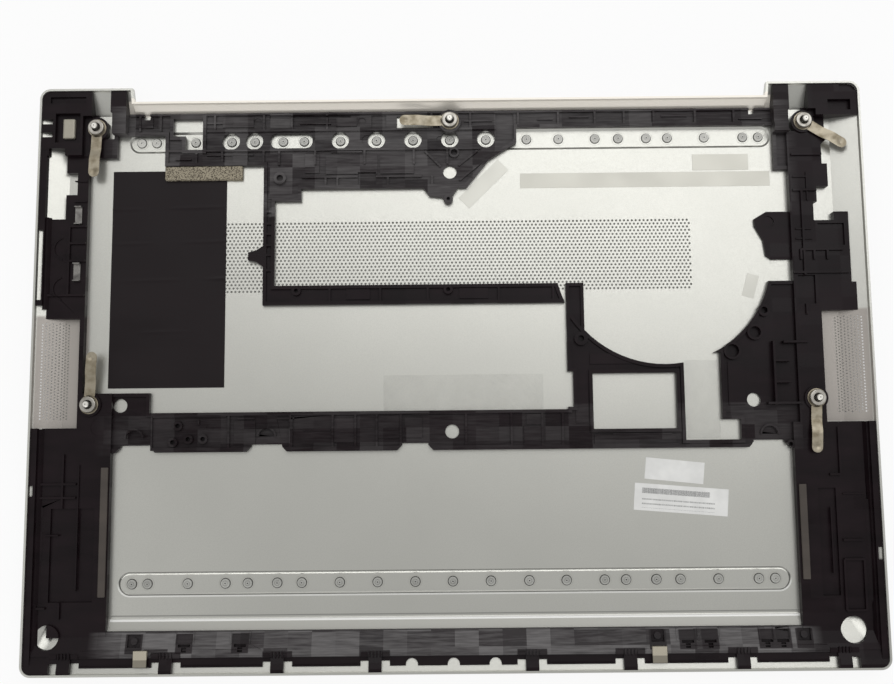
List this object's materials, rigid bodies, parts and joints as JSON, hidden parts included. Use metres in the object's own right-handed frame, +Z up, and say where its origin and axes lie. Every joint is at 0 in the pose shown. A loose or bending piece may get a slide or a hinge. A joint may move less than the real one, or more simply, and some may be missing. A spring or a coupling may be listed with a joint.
{
  "type": "laptop bottom case",
  "caption": "Slim tray-shaped bottom cover with a bonded black inner moulding, vents, captive screws and two long rubber feet.",
  "frame": {"origin": "under the middle of the tray, on the surface its rubber feet stand on", "axes": "+X along the long side, +Y towards the hinge side with the two ears, +Z up out of the open inner side"},
  "size_m": [0.315, 0.22, 0.0102],
  "materials": {
    "black_film": "thin wrinkled black film",
    "black_moulding": "fine-grained black moulding with glossier flats",
    "clear_film": "clear film",
    "foam": "open brown-grey foam",
    "foot_rubber": "matt black rubber",
    "gasket_fabric": "conductive cloth over foam",
    "grey_tape": "translucent grey tape",
    "label_paper": "blank white label",
    "rail_plastic": "grey foam-faced strip",
    "screw_steel": "bright zinc plated",
    "shell_metal": "satin painted light metal, warm silver",
    "sleeve_steel": "turned, nickel plated",
    "spring_nickel": "rolled sheet with a warm nickel tint",
    "stake_plastic": "light grey, staked heads"
  },
  "bodies": {
    "root": {"battery_rail_left": "rail_plastic", "battery_rail_right": "rail_plastic", "black_film": "black_film", "bottom_shell": "shell_metal", "captive_screw_front_left": "screw_steel", "captive_screw_front_right": "screw_steel", "captive_screw_rear_left": "screw_steel", "captive_screw_rear_middle": "screw_steel", "captive_screw_rear_right": "screw_steel", "clear_film_memory": "clear_film", "clear_film_side": "clear_film", "foam_strip": "foam", "front_foot": "foot_rubber", "front_foot_stakes": "stake_plastic", "front_gasket_left": "gasket_fabric", "front_gasket_right": "gasket_fabric", "ground_spring_front_left": "spring_nickel", "ground_spring_front_right": "spring_nickel", "ground_spring_rear_left": "spring_nickel", "ground_spring_rear_middle": "spring_nickel", "ground_spring_rear_right": "spring_nickel", "inner_frame": "black_moulding", "label_large": "label_paper", "label_small": "label_paper", "rear_foot": "foot_rubber", "rear_foot_stakes": "stake_plastic", "screw_sleeve_front_left": "sleeve_steel", "screw_sleeve_front_right": "sleeve_steel", "screw_sleeve_rear_left": "sleeve_steel", "screw_sleeve_rear_middle": "sleeve_steel", "screw_sleeve_rear_right": "sleeve_steel", "side_clip_lower": "spring_nickel", "side_clip_upper": "spring_nickel", "side_gasket": "gasket_fabric", "tape_diagonal": "grey_tape", "tape_long": "grey_tape", "tape_short": "grey_tape", "tape_small": "grey_tape"}
  },
  "joints": []
}
